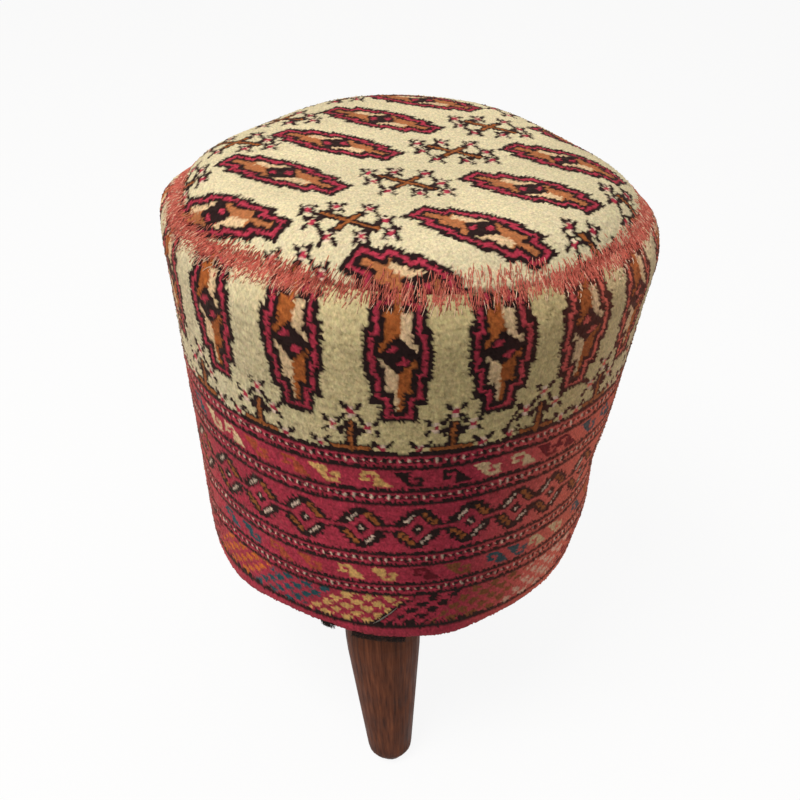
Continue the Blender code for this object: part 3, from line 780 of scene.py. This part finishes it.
def wood_material(name, leg):
    """Dark walnut with fine streaks along a leg, whose axis runs between the middles of its two ends."""
    material, tree, shader = new_material(name)
    points = np.array([vertex.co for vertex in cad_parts[leg].data.vertices])
    low, high = points[:, 2].min(), points[:, 2].max()
    foot = points[points[:, 2] < low + 0.004].mean(0)
    axis = Vector(points[points[:, 2] > high - 0.001].mean(0) - foot).normalized()
    turn = axis.rotation_difference(Vector((0.0, 0.0, 1.0))).to_euler()
    place = tree.nodes.new("ShaderNodeTexCoord").outputs["Object"]
    lean = add_node(tree, "Mapping", Rotation=turn)
    tree.links.new(place, lean.inputs["Vector"])
    long = add_node(tree, "Mapping", Scale=(1.0, 1.0, 0.035))
    tree.links.new(lean.outputs["Vector"], long.inputs["Vector"])
    streak = add_noise(tree, long.outputs["Vector"], 520.0, 5.0, 0.62)
    broad = add_noise(tree, long.outputs["Vector"], 130.0, 3.0)
    wear = add_noise(tree, place, 55.0, 4.0, 0.6)
    colour = add_ramp(tree, streak, ((0.28, (61, 31, 18)), (0.5, (103, 57, 37)), (0.74, (133, 78, 51))))
    colour = add_shade(tree, colour, add_range(tree, broad, 0.72, 1.18))
    colour = add_shade(tree, colour, add_range(tree, wear, 0.88, 1.08))
    # Painted light and shade: the leg lighter towards its top and darker towards its foot
    split = add_node(tree, "SeparateXYZ")
    tree.links.new(place, split.inputs["Vector"])
    colour = add_shade(tree, colour, add_range(tree, split.outputs["Z"], 0.8, 1.12, 0.0, 0.14))
    tree.links.new(colour, shader.inputs["Base Color"])
    tree.links.new(add_range(tree, wear, 0.5, 0.68), shader.inputs["Roughness"])
    shader.inputs["Specular IOR Level"].default_value = 0.12
    shader.inputs["Coat Weight"].default_value = 0.03
    shader.inputs["Coat Roughness"].default_value = 0.35
    add_bump(tree, shader, streak, 0.25, 0.0004)
    return material


def plain_material(name, dark, pale, scale, roughness, metallic=0.0, bump=0.3, stretch=(1.0, 1.0, 1.0)):
    """Surface between two colours, clouded by noise at a scale, with the same noise as bump."""
    material, tree, shader = new_material(name)
    place = tree.nodes.new("ShaderNodeTexCoord").outputs["Object"]
    long = add_node(tree, "Mapping", Scale=stretch)
    tree.links.new(place, long.inputs["Vector"])
    grain = add_noise(tree, long.outputs["Vector"], scale, 4.0, 0.6)
    tree.links.new(add_ramp(tree, grain, ((0.3, dark), (0.7, pale))), shader.inputs["Base Color"])
    tree.links.new(add_range(tree, grain, roughness * 0.85, roughness * 1.1), shader.inputs["Roughness"])
    shader.inputs["Metallic"].default_value = metallic
    add_bump(tree, shader, grain, bump, 0.0005)
    return material


def lathe(name, rings, ends, material):
    """Closed round piece of rings of points, closed by two points on the axis, or else onto itself."""
    rings = np.asarray(rings)
    rows, steps = rings.shape[:2]
    points = rings.reshape(-1, 3)
    faces = grid_faces(rows, steps, True).tolist()
    ring = np.arange(steps)
    after = (ring + 1) % steps
    last = (rows - 1) * steps
    if ends:
        points = np.concatenate((points, [(0.0, 0.0, height) for height in ends]))
        faces += np.stack((np.full(steps, len(points) - 2), ring, after), -1).tolist()
        faces += np.stack((np.full(steps, len(points) - 1), last + after, last + ring), -1).tolist()
    else:
        faces += np.stack((last + ring, ring, after, last + after), -1).tolist()
    piece = new_mesh(name, points, faces)
    piece.data.materials.append(material)
    return piece


def skin_rings(downs, inset, steps):
    """Rings of points that follow the skin at distances below the seam, moved in."""
    down, azimuth = np.meshgrid(downs, np.arange(steps) * 2.0 * np.pi / steps, indexing="ij")
    return list(skin_point(down, azimuth, -inset)[0])


def plain_ring(radius, height, steps):
    """Level round ring of points."""
    azimuth = np.arange(steps) * 2.0 * np.pi / steps
    return np.stack((radius * np.sin(azimuth), -radius * np.cos(azimuth), np.full(steps, height)), -1)


def build_padding():
    """Foam on the seat board and felt round the wall, under the carpet."""
    steps = 96
    inset = CARPET + 2.0 * GAP
    foam_low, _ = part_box("seat_foam")
    crown = skin_rings(np.linspace(-TOP_REACH + 0.004, 0.0, 50), inset, steps)
    shoulder = [ring for ring in skin_rings(np.linspace(0.001, 0.06, 40), inset, steps) if ring[0, 2] > foam_low.z + GAP]
    base = plain_ring(np.hypot(*shoulder[-1][0, :2]), foam_low.z, steps)
    foam = plain_material("seat_foam", (196, 176, 120), (222, 206, 158), 900.0, 0.95, 0.0, 0.6)
    pad = lathe("seat_pad", crown + shoulder + [base], (crown[0][0, 2], foam_low.z), foam)
    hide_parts("seat_foam")
    felt_low, felt_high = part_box("side_padding")
    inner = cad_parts["side_padding"].data.vertices
    radii = [(math.hypot(vertex.co.x, vertex.co.y), vertex.co.z) for vertex in inner]
    low_inside = min(radius for radius, height in radii if height < felt_low.z + GAP)
    high_inside = min(radius for radius, height in radii if height > felt_high.z - GAP)
    outer = [ring for ring in skin_rings(np.linspace(0.0, SIDE_REACH, 80), inset, steps)
             if felt_low.z < ring[:, 2].min() and ring[:, 2].max() < felt_high.z]
    rings = outer + [plain_ring(low_inside + GAP, felt_low.z + GAP, steps),
                     plain_ring(high_inside + GAP, felt_high.z - GAP, steps)]
    felt = plain_material("wall_felt", (96, 92, 86), (132, 126, 118), 700.0, 0.95, 0.0, 0.7)
    wrap = lathe("wall_felt", rings, None, felt)
    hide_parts("side_padding")
    return pad, wrap


def dress_cad():
    """Materials of the CAD nodes that stay."""
    plywood = plain_material("plywood", (148, 110, 66), (190, 150, 100), 260.0, 0.7, 0.0, 0.3, (1.0, 0.12, 1.0))
    cloth = plain_material("dust_cloth", (14, 13, 13), (40, 38, 37), 900.0, 0.95, 0.0, 0.8)
    steel = plain_material("zinc_steel", (120, 120, 118), (176, 176, 172), 420.0, 0.42, 1.0, 0.1, (1.0, 0.2, 1.0))
    nylon = plain_material("nylon", (34, 29, 26), (58, 50, 45), 600.0, 0.5, 0.0, 0.15)
    dress = {"seat_board": plywood, "drum_wall": plywood, "base_board": plywood, "dust_cover": cloth}
    for name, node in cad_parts.items():
        if name in ("leg_front", "leg_back_right", "leg_back_left"):
            chosen = wood_material(name.replace("leg", "walnut"), name)
        elif name.startswith("foot_glide"):
            chosen = nylon
        elif name.startswith(("leg_plate", "leg_bolt", "plate_screw")):
            chosen = steel
        elif name in dress:
            chosen = dress[name]
        else:
            continue
        node.data.materials.clear()
        node.data.materials.append(chosen)


def background_share(tree, most):
    """Share of the plain background colour, for what the camera sees straight, mirrored or through glass."""
    paths = tree.nodes.new("ShaderNodeLightPath")
    share = paths.outputs["Is Camera Ray"]
    for ray in ("Is Glossy Ray", "Is Transmission Ray"):
        either = tree.nodes.new("ShaderNodeMath")
        either.operation = "MAXIMUM"
        tree.links.new(share, either.inputs[0])
        tree.links.new(paths.outputs[ray], either.inputs[1])
        share = either.outputs["Value"]
    scale = tree.nodes.new("ShaderNodeMath")
    scale.operation = "MULTIPLY"
    scale.inputs[1].default_value = most
    tree.links.new(share, scale.inputs[0])
    return scale.outputs["Value"]


def mix_background(tree, most, plain, seen, output):
    """Mixes a lit shader with the plain background colour."""
    mix = tree.nodes.new("ShaderNodeMixShader")
    tree.links.new(background_share(tree, most), mix.inputs["Fac"])
    tree.links.new(plain, mix.inputs[1])
    tree.links.new(seen, mix.inputs[2])
    tree.links.new(mix.outputs["Shader"], tree.nodes[output].inputs["Surface"])


def build_stage():
    """Pale floor, soft lamps and a white surround."""
    size = 6.0
    floor = new_mesh("floor", [(-size, -size, 0), (size, -size, 0), (size, size, 0), (-size, size, 0)],
                     [(0, 1, 2, 3)], False)
    material, tree, shader = new_material("floor")
    shader.inputs["Base Color"].default_value = (0.6, 0.59, 0.58, 1.0)
    shader.inputs["Roughness"].default_value = 0.9
    glow = add_node(tree, "Emission", Strength=1.0)
    white = add_node(tree, "BsdfDiffuse", Color=(0.95, 0.95, 0.95, 1.0))
    pale = add_node(tree, "MixShader", Fac=0.91)
    tree.links.new(white.outputs["BSDF"], pale.inputs[1])
    tree.links.new(glow.outputs["Emission"], pale.inputs[2])
    mix_background(tree, 1.0, shader.outputs["BSDF"], pale.outputs["Shader"], "Material Output")
    floor.data.materials.append(material)
    world = bpy.data.worlds.new("studio")
    bpy.context.scene.world = world
    world.use_nodes = True
    tree = world.node_tree
    ambient = tree.nodes["Background"]
    ambient.inputs["Color"].default_value = (1.0, 0.97, 0.93, 1.0)
    ambient.inputs["Strength"].default_value = 0.33
    seen = add_node(tree, "Background", Color=(1.0, 1.0, 1.0, 1.0), Strength=1.0)
    mix_background(tree, 1.0, ambient.outputs["Background"], seen.outputs["Background"], "World Output")
    for name, place, watts, width in (("key", (-0.75, -0.8, 2.15), 34.0, 1.0), ("top", (0.2, 0.3, 2.3), 5.0, 1.4)):
        lamp = bpy.data.lights.new(name, "AREA")
        lamp.energy = watts
        lamp.size = width
        lamp.color = (1.0, 0.97, 0.93)
        thing = bpy.data.objects.new(name, lamp)
        bpy.context.scene.collection.objects.link(thing)
        thing.location = place
        aim = Vector((0.0, 0.0, 0.3)) - Vector(place)
        thing.rotation_euler = aim.to_track_quat("-Z", "Y").to_euler()


def build_camera():
    """Camera at the photograph's viewpoint, with its slight roll."""
    place = Vector((-0.001, -0.557853, 0.645475))
    target = Vector((-0.000176, 0.0, 0.247707))
    roll = 0.0546
    ahead = (target - place).normalized()
    right = ahead.cross(Vector((0.0, 0.0, 1.0))).normalized()
    up = right.cross(ahead)
    across = math.cos(roll) * right + math.sin(roll) * up
    above = math.cos(roll) * up - math.sin(roll) * right
    lens = bpy.data.cameras.new("camera")
    lens.sensor_width = 36.0
    lens.lens = 42.456
    camera = bpy.data.objects.new("camera", lens)
    bpy.context.scene.collection.objects.link(camera)
    turn = Matrix((across, above, -ahead)).transposed().to_4x4()
    camera.matrix_world = Matrix.Translation(place) @ turn
    bpy.context.scene.camera = camera


build_camera()
build_stage()
dress_cad()
pile = yarn_material("wool_pile", 800.0, 0.4, 0.1)
thread = yarn_material("seam_yarn", 2600.0, 0.4, 0.1)
side_carpet = build_side_carpet(pile)
top_carpet = build_top_carpet(pile)
stitches = build_stitches(thread)
fringe = build_lining_and_shadow_fringe(thread)
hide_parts("carpet_side")
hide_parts("carpet_top")
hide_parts("edge_stitching")
for piece in (side_carpet, top_carpet, stitches, fringe, *build_padding()):
    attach(piece, "root")

bpy.context.scene.view_settings.view_transform = "Standard"
